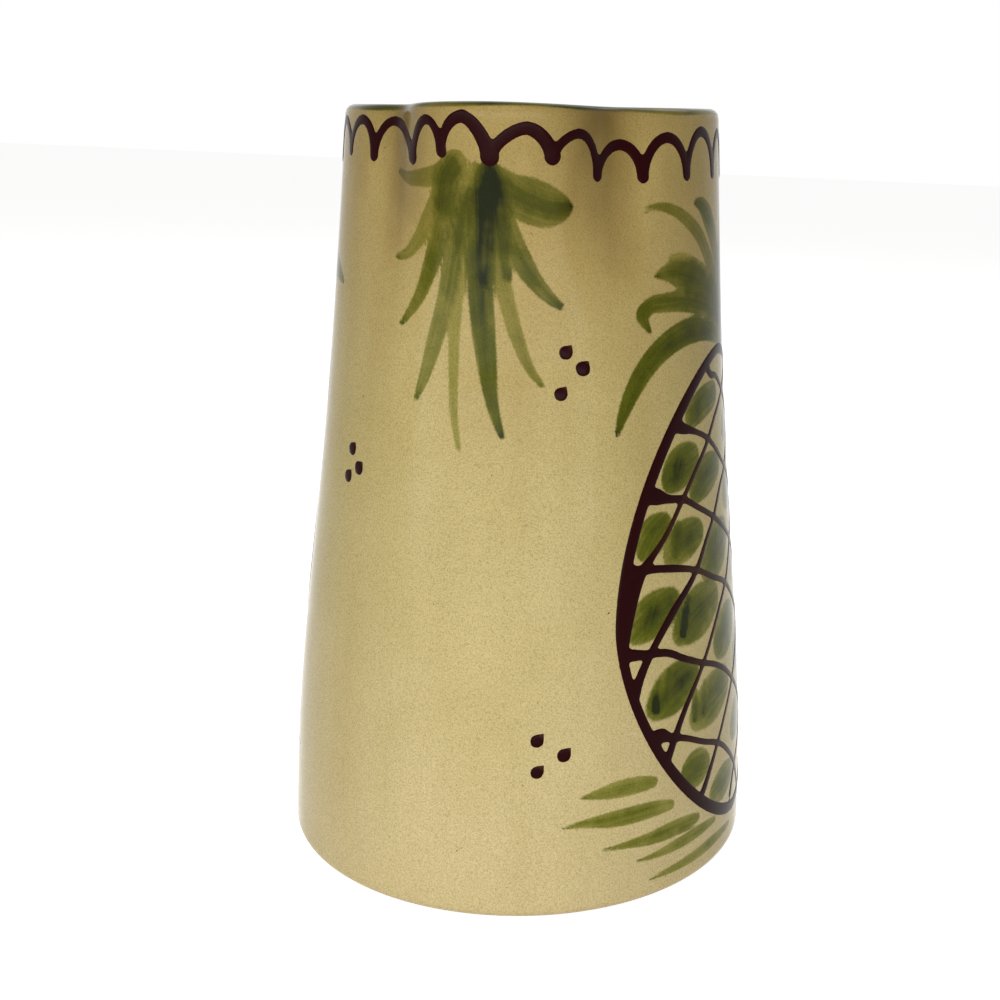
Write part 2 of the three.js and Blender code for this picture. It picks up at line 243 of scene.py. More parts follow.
# Dabs of colour in the cells of the fruit, and the darker streaks and drip inside some of them
DABS = (
    (1.62, ((60.8, 125.9, 6.8), (65.8, 128.1, 8.6), (73.3, 129.7, 7.3))),
    (1.81, ((51.1, 111, 7.5), (55.2, 113.8, 11.5), (59.1, 115.1, 8.6))),
    (1.69, ((61.8, 106.5, 7.5), (66.7, 109.3, 10.9), (73.2, 110.6, 8))),
    (1.88, ((41.3, 93.8, 5.1), (44.5, 98.1, 9.7), (47.4, 100.1, 6.4))),
    (1.75, ((50.2, 91.8, 6.3), (54.7, 94.3, 11), (60.3, 95.5, 8))),
    (1.69, ((66.3, 85.2, 9), (71.7, 88.8, 14.4), (77.3, 91.4, 9.3))),
    (1.81, ((38.4, 73.7, 6.6), (43.3, 77.3, 12), (48.6, 79.1, 9.3))),
    (1.75, ((53, 70.9, 7.5), (59.7, 74.5, 14.5), (66.2, 76.3, 10.6))),
    (1.62, ((71.2, 63, 9.8), (75.7, 65.5, 13.8), (80, 67.5, 9.3))),
    (2.1, ((44, 53.2, 7.5), (49.2, 56.5, 13.3), (54.4, 58.6, 10.6))),
    (1.62, ((58.5, 46.5, 8.2), (64.7, 49.3, 14), (71.2, 51.1, 10.6))),
    (1.69, ((54.5, 31.3, 7.5), (57.5, 32.3, 11), (59.8, 32.3, 8))),
    (1.5, ((66.7, 21.7, 7.5), (70.7, 22.7, 10.3), (75, 23.7, 8))),
    (1.62, ((85, 118.8, 7.5), (87.7, 120.3, 9.2), (90.7, 121.2, 6.6))),
    (1.69, ((83.7, 100.6, 9), (87.7, 103.8, 13.2), (91.5, 106, 8.6))),
    (1.69, ((87.7, 78.6, 9), (91.7, 81.8, 13.8), (95.5, 84, 8.6))),
    (1.75, ((85.2, 54.6, 9), (89.7, 57.8, 13.8), (94, 60, 8.6))),
    (1.69, ((80.2, 35, 8.2), (84.2, 37.8, 12.1), (88, 39.6, 8))),
    (1.62, ((100.5, 109.5, 7.5), (103.7, 112.3, 9.8), (106.7, 114.1, 6.6))),
    (1.75, ((102.2, 89.5, 9), (106.2, 92.3, 12.6), (110, 94.5, 8.6))),
    (1.69, ((102.7, 67, 9), (106.7, 69.8, 13.2), (110.5, 72, 8.6))),
    (1.75, ((98.7, 47, 9), (102.7, 49.8, 13.2), (106.5, 52, 8.6))),
    (1.62, ((92.5, 24.5, 7.5), (95.7, 26.8, 10.3), (98.7, 28.1, 7.3))),
    (1.69, ((115, 82.5, 6.8), (117.8, 85.1, 8), (119.7, 87.1, 6))),
    (1.62, ((113.5, 58, 6.8), (116.3, 60.6, 8.6), (118.6, 63.1, 6.6))),
    (1.7, 2.6, ((44.6, 60, 1.6), (43.6, 56, 2.4), (43.6, 52.5, 2))),
    (1.2, 0.8, ((48.2, 62, 1.6), (47.4, 58, 2.4), (46.8, 54, 1.6))),
    (2.4, 2.9, ((56, 79, 2), (54.4, 75, 3), (53.6, 70.2, 2))),
    (1.5, ((57.5, 54, 1.6), (57, 50, 2.8), (57, 46, 1.6))),
    (1.2, ((61.5, 55, 1.6), (61, 50, 2.4), (60.8, 46.5, 1.6))),
    (1.1, ((44.5, 81, 2.6), (43, 77, 4.2), (41.5, 74, 2.6))),
    (1.1, ((71.5, 93, 2.6), (70.5, 88, 4.2), (70, 85, 2.6))),
    (1.15, ((53, 99, 2.6), (52.2, 95, 4.4), (51.6, 91.5, 2.8))),
    (1.15, ((54.6, 117, 2.6), (53.6, 113, 4.6), (52.6, 110, 2.8))),
)

# Trailed slip lines of the right fruit, from its near edge to its far edge. Where a point has no width, the
# line is LATTICE_LINE wide. The left fruit repeats the right one about a centre of its own, a little narrower.
FRUIT_CENTRE = (80.0, 74.0)
CROWN_CENTRE = 84.5
LEFT_FRUIT_CENTRE = -117.0
LEFT_FRUIT_SHARE = 0.88
FRUIT_HALF_ANGLE = 46.2
FRUIT_UP = 66.5
FRUIT_DOWN = 62.0
FRUIT_UP_POWER = 1.8
FRUIT_DOWN_POWER = 1.67
FRUIT_LINE = 3.3
LATTICE_LINE = 1.9
LATTICE = (
    ((34.4, 66, 2.6), (35, 73, 3.4), (36.2, 79, 4), (38.2, 85.5, 4.2), (40.6, 89.3, 3.2), (43.2, 91.9, 2.4),
     (48.8, 97.5), (54.8, 104.7), (60.8, 110.9), (68.8, 118), (74.4, 123.2), (80, 126.8), (86, 130.5),
     (95, 136)),
    ((37.4, 56.5, 3), (39.4, 62.6, 2.9), (42.8, 68.2, 2.5), (49.6, 76.4, 2.7), (60, 85.7, 2.2), (66.4, 93.4),
     (71.2, 98), (76.8, 104.2), (83.2, 108.3), (92, 117), (106, 129)),
    ((46.8, 37.4, 3), (52.8, 49.3, 2.3), (60.8, 59.5), (72, 72.9), (77.6, 78), (84.8, 86.2), (95, 97),
     (115, 114)),
    ((60.4, 24.6, 2.8), (68, 35.9), (73.6, 43.1), (80, 49.8), (86.4, 56.4), (98, 69), (110, 82), (123, 93)),
    ((76.8, 15.9, 2.5), (81.2, 23.6), (85.6, 27.7), (97, 40), (110, 55), (124, 70)),
    ((95, 13.5, 2.5), (105, 26), (115, 39), (120, 48)),
    ((69.6, 138.2, 3), (72.4, 135, 2.4), (76.8, 134), (81.6, 131), (90, 124.5), (100, 115), (112, 101),
     (122, 87)),
    ((53.6, 124.3, 4.2), (56, 123.3, 3.4), (60, 122.2, 2.2), (69.2, 118.6), (75, 114.8), (80, 111),
     (86, 107), (96, 98), (108, 85), (122, 66)),
    ((43, 107.9, 4.8), (46, 107.2, 4.4), (49, 106.3, 2.8), (55.2, 105.2, 2.2), (62.4, 101.7), (70.8, 97.5),
     (78.4, 93), (84, 89.3), (95, 79), (107, 66), (120, 50)),
    ((37.6, 89.3, 3.6), (43, 89.2, 2.4), (49.6, 88.3, 2.3), (60, 85.7), (68.8, 81.6), (76.8, 78),
     (83.2, 72.9), (94, 62), (106, 48), (114, 37)),
    ((35.6, 68.3, 3.8), (41, 67.6, 2.6), (47.2, 66.8, 2.3), (53.6, 63.7, 2.1), (60.8, 60.5), (67.2, 58),
     (73.6, 54.4), (80, 49.3), (85, 44.7), (95, 33), (104, 22)),
    ((42.4, 45.6, 3), (45, 45.2, 4.2), (48, 43.9, 2.6), (52, 42.6, 2.1), (60.8, 38.5), (68.8, 34.9),
     (75.2, 29.7), (80.8, 23.6), (85, 16.4), (87, 12.5)),
)

# Scalloped border under the rim: the feet of its arches and the crests between them, then even arches
# round the back that rise a little over the handle's root.
# A foot ends with the width of its drop, a crest with the widths of its left leg, top and right leg.
BORDER_FEET = ((-57.5, 187.9, 3.3), (-43.2, 187.2, 3.2), (-23.6, 187.9, 4.4), (-12.8, 189.6, 3.4),
    (-0.5, 189, 5), (14.3, 189.4, 4.4), (27.3, 185.2, 3.3), (42.5, 185, 3.6), (59.7, 185.5, 3.7),
    (77.5, 185.5, 3.6))
BORDER_CRESTS = ((-49.5, 195.6, 2.5, 2.6, 2.8), (-36, 195.7, 2.4, 2.4, 3.7), (-17, 196.7, 3.2, 2.4, 2.8),
    (-6.5, 197.7, 2.1, 3.1, 3.9), (8, 195.7, 2.8, 3.2, 3.6), (21, 194.8, 2.5, 2.5, 2.6),
    (35.5, 192.4, 2.5, 2.8, 3), (51, 194.3, 2.6, 2.8, 3), (68, 195.8, 2.6, 2.8, 3))
BORDER_BACK_ARCHES = 14
BORDER_FOOT_Z = 185.0
BORDER_CREST_Z = 195.4
BORDER_LIFT = 3.6
BORDER_LIFT_SPREAD = 27.0
BORDER_WIDTHS = (2.5, 2.6, 2.9, 3.5)

# Dots in threes, each with a little tail where the nozzle left it, and grains of slip that fell
DOTS = ((19.5, 144.3, 3.7), (24.2, 140.5, 4.1), (18.3, 134.4, 3.6), (-43.7, 115.2, 3.6), (-40, 111, 3.9),
    (-44.8, 108, 3.6), (13.5, 48.7, 3.6), (19.8, 44.7, 3.8), (13.6, 40.5, 3.5), (146, 101, 3.7),
    (150.3, 97.2, 3.9), (145, 93, 3.6), (150, 47.5, 3.6), (155, 44, 3.8), (149.5, 40, 3.6), (186, 34.5, 3.7),
    (190.5, 31, 3.8), (185.5, 27, 3.5))
GRAINS = ((25.5, 75.5, 0.7), (30.6, 79.8, 0.8), (-17, 58, 0.5), (5, 98, 0.5), (-31, 142, 0.5),
    (28, 111, 0.5), (160, 120, 0.6), (-95, 33, 0.6), (140, 70, 0.5))


# Node trees

def node(tree, kind, inputs=None, **settings):
    """Adds a node with its settings. An input given a node is linked to that node's first output, one given
    an output is linked to that, and others are set. A colour Mix mixes 6 and 7 by 0, and gives output 2."""
    made = tree.nodes.new("ShaderNode" + kind)
    for name, value in settings.items():
        setattr(made, name, value)
    for socket, value in (inputs or {}).items():
        if isinstance(value, bpy.types.Node):
            value = value.outputs[0]
        if isinstance(value, bpy.types.NodeSocket):
            tree.links.new(value, made.inputs[socket])
        else:
            made.inputs[socket].default_value = value
    return made


def new_material(name):
    material = bpy.data.materials.new(name)
    material.use_nodes = True
    material.node_tree.nodes.clear()
    return material, material.node_tree


# Shape of the thrown wall

def bezier(ends, share):
    share = share[:, None]
    rest = 1 - share
    return (rest ** 3 * ends[0] + 3 * rest ** 2 * share * ends[1]
            + 3 * rest * share ** 2 * ends[2] + share ** 3 * ends[3])


def slope(points):
    """Unit direction of travel along a row of points."""
    along = np.gradient(points, axis=0)
    return along / np.linalg.norm(along, axis=1)[:, None]


class PotWall:
    """The outside of the pitcher's wall with its pinched lip, in millimetres."""

    def __init__(self, sizes):
        self.height = sizes.height / MM
        self.foot = sizes.foot_radius / MM
        self.foot_round = sizes.foot_round / MM
        self.rim = sizes.rim_radius / MM
        self.wall = sizes.wall / MM
        self.floor = sizes.floor / MM
        self.reach = sizes.lip_reach / MM
        self.depth = sizes.lip_depth / MM
        self.crease = sizes.crease / MM
        self.lean = math.atan(RIM_PULL_OUT / RIM_PULL_DOWN)
        edge = self.height - self.wall / 2 * (1 - math.sin(self.lean))
        ends = np.array([
            (self.foot, self.foot_round),
            (self.foot - FOOT_PULL_IN, self.foot_round + FOOT_PULL_UP),
            (self.rim + RIM_PULL_OUT, edge - RIM_PULL_DOWN),
            (self.rim, edge),
        ])
        self.curve = bezier(ends, np.linspace(0, 1, 4 * OUTER_ROWS + 1))
        self.along = slope(self.curve)

    def offset(self, depth):
        """The wall's curve moved inwards along its own normal."""
        return self.curve + depth * np.stack([-self.along[:, 1], self.along[:, 0]], 1)

    def plain_radius(self, z):
        return np.interp(z, self.curve[:, 1], self.curve[:, 0])

    def profile(self):
        """Half section from the middle of the underside, up the outside and down the inside."""
        corner_z = self.floor + FLOOR_CORNER
        corner_r = float(self.plain_radius(corner_z)) - self.wall - FLOOR_CORNER
        inside = self.offset(self.wall)[::-1]
        inside = inside[inside[:, 1] > corner_z]
        outer = np.linspace(0, len(self.curve) - 1, OUTER_ROWS).round().astype(int)
        inner = np.linspace(0, len(inside) - 1, INNER_ROWS).round().astype(int)
        lip = self.offset(self.wall / 2)[-1]
        return np.concatenate([
            [(0, 0)],
            arc((self.foot - self.foot_round, self.foot_round), self.foot_round, -math.pi / 2, 0)[:-1],
            self.curve[outer],
            arc(lip, self.wall / 2, self.lean, math.pi + self.lean)[1:-1],
            inside[inner],
            arc((corner_r, corner_z), FLOOR_CORNER, 0, -math.pi / 2)[1:],
            [(0, self.floor)],
        ])

    def push(self, distance):
        """How far the fingers moved the rim, in or out, at an arc distance from the middle of the lip."""
        nose = self.reach * np.exp(-(distance / LIP_HALF_WIDTH) ** LIP_NOSE_POWER)
        return nose - self.crease * np.exp(-((distance - CREASE_OFFSET) / CREASE_HALF_WIDTH) ** 2)

    def fade(self, z):
        return np.clip((z - (self.height - self.depth)) / self.depth, 0, None) ** LIP_FADE_POWER

    def from_lip(self, x, y):
        return np.abs(np.arctan2(x, -y)) * self.rim

    def rise(self, x, distance, z):
        return self.fade(z) * (LIP_RISE * np.exp(-(distance / LIP_HALF_WIDTH) ** 2) + RIM_SLANT * x / self.rim)

    def pinch(self, points):
        """Pulls the lip forwards between its two creases, as the CAD source does."""
        x, y, z = points.T
        radius = np.maximum(np.hypot(x, y), 1e-6)
        distance = self.from_lip(x, y)
        stretch = 1 + self.push(distance) * self.fade(z) / radius
        return np.stack([x * stretch, y * stretch, z + self.rise(x, distance, z)], 1)

    def place(self, degrees, z):
        """Points of the outside at an angle from the lip and a height above the table."""
        angle = np.radians(degrees)
        distance = self.from_lip(np.sin(angle), -np.cos(angle))
        thrown = z
        for _ in range(4):
            thrown = z - self.rise(self.plain_radius(thrown) * np.sin(angle), distance, thrown)
        radius = self.plain_radius(thrown) + self.push(distance) * self.fade(thrown)
        return np.stack([radius * np.sin(angle), -radius * np.cos(angle), z + 0 * angle], 1)

    def normal(self, degrees, z):
        around = self.place(degrees + NORMAL_STEP, z) - self.place(degrees - NORMAL_STEP, z)
        upward = self.place(degrees, z + NORMAL_STEP) - self.place(degrees, z - NORMAL_STEP)
        square = np.cross(around, upward)
        return square / np.linalg.norm(square, axis=1)[:, None]

    def degrees(self, points):
        return np.degrees(np.arctan2(points[:, 0], -points[:, 1]))


def arc(centre, radius, start, end):
    angle = np.linspace(start, end, ARC_ROWS + 1)
    return np.stack([centre[0] + radius * np.cos(angle), centre[1] + radius * np.sin(angle)], 1)


# Meshes and numbers

def coordinates(mesh):
    flat = np.empty(len(mesh.vertices) * 3, np.float32)
    mesh.vertices.foreach_get("co", flat)
    return flat.reshape(-1, 3).astype(float) / MM


def set_coordinates(mesh, points):
    mesh.vertices.foreach_set("co", (points * MM).astype(np.float32).ravel())
    mesh.update()


def set_attributes(mesh, **layers):
    for name, values in layers.items():
        kind, field = ("FLOAT_VECTOR", "vector") if values.ndim == 2 else ("FLOAT", "value")
        layer = mesh.attributes.new(name, kind, "POINT")
        layer.data.foreach_set(field, values.astype(np.float32).ravel())


def deselect_all():
    if bpy.context.object and bpy.context.object.mode != "OBJECT":
        bpy.ops.object.mode_set(mode="OBJECT")
    bpy.ops.object.select_all(action="DESELECT")


def named(name):
    """Gives the active object and its data their name."""
    piece = bpy.context.object
    piece.name = name
    piece.data.name = name
    return piece


def finished(piece, material, slot, *replaced):
    """Smooth shading, its material and its place in the frame."""
    bpy.ops.object.shade_smooth()
    piece.data.materials.clear()
    piece.data.materials.append(material)
    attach(piece, "root")
    if replaced:
        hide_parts(*replaced)


# Strokes along the wall

def smooth_path(points):
    """A smooth curve through points of degrees, height and width, in even steps along the wall."""
    points = np.array(points, float)
    flat = points.copy()
    flat[:, 0] = np.radians(points[:, 0]) * MEAN_RADIUS
    gaps = np.linalg.norm(np.diff(flat[:, :2], axis=0), axis=1)
    knots = np.concatenate([[0], np.cumsum(np.maximum(gaps, 1e-6))])
    if len(points) > 2:
        rates = np.diff(flat, axis=0) / np.diff(knots)[:, None]
        spans = np.diff(knots)[:, None]
        inner = (rates[:-1] * spans[1:] + rates[1:] * spans[:-1]) / (spans[1:] + spans[:-1])
        rates = np.concatenate([1.5 * rates[:1] - 0.5 * inner[:1], inner, 1.5 * rates[-1:] - 0.5 * inner[-1:]])
        at = np.linspace(0, knots[-1], max(int(knots[-1] / PATH_STEP), 4) + 1)
        low = np.clip(np.searchsorted(knots, at, "right") - 1, 0, len(points) - 2)
        span = (knots[low + 1] - knots[low])[:, None]
        t = (at - knots[low])[:, None] / span
        flat = ((2 * t ** 3 - 3 * t ** 2 + 1) * flat[low] + (t ** 3 - 2 * t ** 2 + t) * span * rates[low]
                + (3 * t ** 2 - 2 * t ** 3) * flat[low + 1] + (t ** 3 - t ** 2) * span * rates[low + 1])
    else:
        share = np.linspace(0, 1, max(int(knots[-1] / PATH_STEP), 4) + 1)[:, None]
        flat = flat[0] * (1 - share) + flat[1] * share
    path = flat.copy()
    path[:, 0] = np.degrees(flat[:, 0] / MEAN_RADIUS)
    path[:, 2] = np.maximum(path[:, 2], LEAST_WIDTH)
    return path


def turned_to_left(points):
    """The left hand drawing is the right hand one, a little narrower and not quite level."""
    return tuple((LEFT_FRUIT_CENTRE + LEFT_FRUIT_SHARE * (p[0] - FRUIT_CENTRE[0]),
                  p[1] + 1.1 * math.sin(p[0] * 0.06), *p[2:]) for p in points)


def mirrored(points, about, lift):
    """The same strokes on the far side of a fruit, with the hand's own small differences."""
    return tuple((2 * about - p[0] + 1.2 * math.sin(p[1] * 0.2), p[1] + lift * math.sin(p[0] * 0.12), *p[2:])
                 for p in points)


def fruit_strokes():
    """Every stroke of the brush on one fruit. All leaves but the crown's thin and hooked ones are repeated
    on its far side."""
    under = [(*loads, mirrored(points, FRUIT_CENTRE[0], 0.6)) for *loads, points in LOWER_LEAVES]
    over = [(*loads, mirrored(points, CROWN_CENTRE, 1.6)) for *loads, points in CROWN[:3] + CROWN[5:]]
    return [*DABS, *LOWER_LEAVES, *under, *over, *CROWN_FAR_SIDE, *CROWN]


def brush_strokes():
    fruit = fruit_strokes()
    return [*SPRAY, *fruit, *[(*loads, turned_to_left(points)) for *loads, points in fruit]]


def paint(wall, points, outside):
    """Lays the brush strokes on the wall's vertices. For each vertex: millimetres inside the nearest edge,
    how much green lies there, and a place along, across and apart for the streaks of the brush."""
    edge = np.full(len(points), UNPAINTED)
    laid = np.zeros(len(points))
    fringe = np.zeros(len(points))
    grain = np.zeros((len(points), 3))
    degrees = wall.degrees(points)
    for number, (*loads, shape) in enumerate(brush_strokes()):
        root, tip = loads[0], loads[-1]
        path = smooth_path(shape)
        half = path[:, 2] / 2
        reach = half.max() + STROKE_REACH
        angle_reach = math.degrees(reach / LEAST_RADIUS)
        turn = (degrees - path[:, 0].mean() + 180) % 360 - 180 + path[:, 0].mean()
        near = np.flatnonzero(
            outside
            & (turn > path[:, 0].min() - angle_reach) & (turn < path[:, 0].max() + angle_reach)
            & (points[:, 2] > path[:, 1].min() - reach) & (points[:, 2] < path[:, 1].max() + reach))
        if not len(near):
            continue
        middle = wall.place(path[:, 0], path[:, 1])
        apart = np.linalg.norm(points[near, None] - middle[None], axis=2)
        inside = half[None] - apart
        best = inside.argmax(1)
        inside = inside[np.arange(len(near)), best]
        along = np.arange(len(path)) * PATH_STEP
        side = np.cross(wall.normal(path[:, 0], path[:, 1]), slope(middle))
        across = ((points[near] - middle[best]) * side[best]).sum(1)
        drop = np.clip(tip, 0, 1) * (half[-1] < POINTED_HALF_WIDTH) * np.exp((along - along[-1]) / POINT_DROP)
        # The load also wavers a little with the pressure of the hand.
        load = (root + (tip - root) * along / along[-1]) * (1 + drop + 0.07 * np.sin(along / 5 + number))
        # A broad wet dab is paler and softer towards its edge than a leaf drawn with the tip of the brush.
        wet = min(max((half.max() - 2) / 5, 0), 1)
        core = 0.84 - 0.2 * wet + (0.3 + 0.48 * wet) * np.clip(inside / half.max(), 0, 1)
        load = load[best] * core
        # The colour stays full to the stroke's own edge and fades out where it lies on another's.
        cover = np.clip(inside / EDGE_FADE + 0.5, 0, 1)
        laid[near] += (load * cover ** 2 * (3 - 2 * cover)) ** 2
        on_top = inside > np.minimum(edge[near], 0)
        top = near[on_top]
        grain[top, 0] = along[best[on_top]]
        grain[top, 1] = across[on_top]
        grain[top, 2] = number * 7.3
        fringe[top] = load[on_top]
        edge[near] = np.maximum(edge[near], inside * (1 - 0.5 * wet))
    laid = np.sqrt(laid)
    return edge, np.where(edge < EDGE_FADE / 2, np.maximum(laid, fringe), laid), grain


# Materials

def tin_glazed_earthenware(colours):
    """Tin glazed earthenware: buff clay dipped in a cream glaze and fired glossy. The glaze is clouded where
    it ran, and iron grains of the clay show through as a fine sandy speckle. Its colour is painted lighter
    towards the foot as painted light, with some of the paper's reflection painted in, and darker towards the
    rim as painted shade; it is darkest in the creases by the lip, where glaze gathered and painted shade lies
    too. The green is copper oxide brushed on the raw glaze, so it has streaks and soft edges but no thickness.
    The underside was wiped bare of glaze."""
    material, tree = new_material("tin_glazed_earthenware")
    place = node(tree, "TexCoord").outputs["Object"]
    height = node(tree, "SeparateXYZ", {0: place}).outputs["Z"]
    # The glaze is painted lighter at the foot and darker upwards: painted light low down, with some of the
    # paper's reflection painted in, and painted shade towards the rim. Clouds about 30 mm across and runs
    # about 14 mm wide that hang down the wall shift that by some 20 mm, and it is darkest in the creases by
    # the lip, where glaze gathered and painted shade lies too.
    cloud = node(tree, "TexNoise", {"Vector": place, "Scale": 33, "Detail": 3, "Roughness": 0.55})
    hung = node(tree, "Mapping", {"Vector": place, "Scale": (72, 72, 6)})
    runs = node(tree, "TexNoise", {"Vector": hung, "Scale": 1, "Detail": 2})
    both = node(tree, "Math", {0: cloud, 1: runs}, operation="ADD")
    shifted = node(tree, "Math", {0: both, 1: 80 * MM, 2: height}, operation="MULTIPLY_ADD")
    painted_light_height = node(tree, "MapRange", {
        "Value": shifted, "From Min": 80 * MM, "From Max": 275 * MM, "To Max": 0.8})
    # The creases by the lip are darker: glaze that gathered there, and painted shade.
    hollow = node(tree, "Attribute", attribute_name="hollow").outputs["Fac"]
    shade_light_and_pool = node(tree, "Math", {0: hollow, 1: 0.2, 2: painted_light_height}, operation="MULTIPLY_ADD")
    glaze = node(tree, "ValToRGB", {0: shade_light_and_pool})
    ramp = glaze.color_ramp.elements
    ramp[0].position, ramp[0].color = 0.03, colours.glaze_milky
    ramp[1].position, ramp[1].color = 1.0, colours.glaze_pooled
    for position, shade in ((0.42, colours.glaze_pale), (0.76, colours.glaze_deep)):
        ramp.new(position).color = shade

    # Sandy speckle of about 0.35 mm, and sparse iron spots of about 0.4 mm
    sand = node(tree, "TexNoise", {"Vector": place, "Scale": 2800, "Detail": 2, "Roughness": 0.6})
    sandy = node(tree, "MapRange", {
        "Value": sand, "From Min": 0.42, "From Max": 0.68, "To Max": 0.42})
    speckled = node(tree, "Mix", {
        0: sandy, 6: glaze, 7: colours.speckle}, data_type="RGBA")
    spots = node(tree, "TexVoronoi", {"Vector": place, "Scale": 400})
    rare = node(tree, "TexNoise", {"Vector": place, "Scale": 310, "Detail": 0})
    spot_size = node(tree, "MapRange", {
        "Value": rare, "From Min": 0.60, "From Max": 0.75, "To Max": 0.10})
    spotted = node(tree, "Math", {0: spots.outputs["Distance"], 1: spot_size},
                   operation="LESS_THAN")
    spot_share = node(tree, "Math", {0: spotted, 1: 0.5}, operation="MULTIPLY")
    fired = node(tree, "Mix", {
        0: spot_share, 6: speckled.outputs[2], 7: colours.slip_thin}, data_type="RGBA")

    # Brushwork
    edge = node(tree, "Attribute", attribute_name="edge").outputs["Fac"]
    tone = node(tree, "Attribute", attribute_name="tone").outputs["Fac"]
    grain = node(tree, "Attribute", attribute_name="grain").outputs["Vector"]
    # The edge frays over grains of about 0.7 mm.
    fray = node(tree, "TexNoise", {"Vector": place, "Scale": 1400, "Detail": 1})
    frayed = node(tree, "Math", {0: fray, 1: 0.36, 2: edge}, operation="MULTIPLY_ADD")
    cover = node(tree, "MapRange", {
        "Value": frayed, "From Min": -0.1, "From Max": 0.46}, interpolation_type="SMOOTHSTEP")
    # Hairs of the brush leave streaks about 1 mm wide and 25 mm long.
    combed = node(tree, "Mapping", {"Vector": grain, "Scale": (0.04, 1.0, 1)})
    streaks = node(tree, "TexNoise", {"Vector": combed, "Scale": 1, "Detail": 1})
    blots = node(tree, "TexNoise", {"Vector": place, "Scale": 150, "Detail": 2})
    uneven = node(tree, "Math", {0: streaks, 1: 0.6, 2: blots},
                  operation="MULTIPLY_ADD")
    load = node(tree, "MapRange", {
        "Value": uneven, "From Min": 0.5, "From Max": 1.1, "To Min": 0.22, "To Max": 0.40})
    green = node(tree, "Math", {0: tone, 1: load}, operation="MULTIPLY")
    # Copper green is clear in the fired glaze, so it filters the colour under it.
    wash = node(tree, "ValToRGB", {0: green})
    ramp = wash.color_ramp.elements
    ramp[0].position, ramp[0].color = 0.0, (1, 1, 1, 1)
    ramp[1].position, ramp[1].color = 1.0, colours.wash_deep
    for position, shade in ((0.156, colours.wash_pale), (0.5, colours.wash_full)):
        ramp.new(position).color = shade
    painted = node(tree, "Mix", {
        0: cover, 6: fired.outputs[2], 7: wash}, data_type="RGBA", blend_type="MULTIPLY")

    # Bare clay under the foot
    wiped = node(tree, "Math", {0: cloud, 1: 0.9 * MM, 2: height}, operation="MULTIPLY_ADD")
    bare = node(tree, "MapRange", {
        "Value": wiped, "From Min": 1.25 * MM, "From Max": 0.95 * MM})
    clay_grain = node(tree, "TexNoise", {"Vector": place, "Scale": 600, "Detail": 4})
    clay = node(tree, "Mix", {
        0: clay_grain, 6: colours.clay, 7: colours.speckle}, data_type="RGBA")
    surface = node(tree, "Mix", {
        0: bare, 6: painted.outputs[2], 7: clay.outputs[2]}, data_type="RGBA")

    # Gloss: melted glaze, a little duller where copper sits in it, and dull clay
    gloss = node(tree, "MapRange", {"Value": sand, "To Min": 0.06, "To Max": 0.14})
    dulled = node(tree, "Math", {0: cover, 1: 0.04, 2: gloss},
                  operation="MULTIPLY_ADD")
    roughness = node(tree, "Mix", {0: bare, 2: dulled, 3: 0.9})

    # Relief: throwing rings about 9 mm apart, slow ripples of the melt, and a grain of about 0.7 mm
    stacked = node(tree, "Mapping", {"Vector": place, "Scale": (7, 7, 110)})
    rings = node(tree, "TexNoise", {"Vector": stacked, "Scale": 1, "Detail": 1})
    thrown = node(tree, "Bump", {"Height": rings, "Distance": 0.12 * MM})
    ripple = node(tree, "TexNoise", {"Vector": place, "Scale": 75, "Detail": 1})
    rippled = node(tree, "Bump", {
        "Height": ripple, "Distance": 0.06 * MM, "Normal": thrown})
    grained = node(tree, "Bump", {
        "Height": fray, "Distance": 0.012 * MM, "Normal": rippled})

    shader = node(tree, "BsdfPrincipled", {
        "Base Color": surface.outputs[2], "Roughness": roughness, "IOR": 1.5,
        "Specular IOR Level": 0.06, "Normal": grained})
    node(tree, "OutputMaterial", {"Surface": shader})
    return material


def glazed_iron_slip(colours):
    """Iron and manganese slip trailed from a nozzle and fired under a film of clear glaze: nearly black
    with a wine-red cast where it is thick, browner where the trail ran thin."""
    material, tree = new_material("glazed_iron_slip")
    place = node(tree, "TexCoord").outputs["Object"]
    load = node(tree, "Attribute", attribute_name="load").outputs["Fac"]
    # Thick and thin along the trail, every 12 mm or so
    flow = node(tree, "TexNoise", {"Vector": place, "Scale": 85, "Detail": 2})
    thick = node(tree, "Math", {0: flow, 1: load}, operation="ADD")
    share = node(tree, "MapRange", {"Value": thick, "From Min": 0.55, "From Max": 1.15})
    body = node(tree, "Mix", {
        0: share, 6: colours.slip_thin, 7: colours.slip}, data_type="RGBA")
    sand = node(tree, "TexNoise", {"Vector": place, "Scale": 1500, "Detail": 1})
    gloss = node(tree, "MapRange", {"Value": sand, "To Min": 0.16, "To Max": 0.30})
    melt = node(tree, "Bump", {"Height": sand, "Distance": 0.012 * MM})
    shader = node(tree, "BsdfPrincipled", {
        "Base Color": body.outputs[2], "Roughness": gloss, "IOR": 1.5, "Specular IOR Level": 0.04,
        "Normal": melt})
    node(tree, "OutputMaterial", {"Surface": shader})
    return material


def material_from(make):
    """The material that a function makes, made the first time it is asked for."""
    return bpy.data.materials.get(make.__name__) or make(bpy.context.scene.pitcher_colours)


# Operators

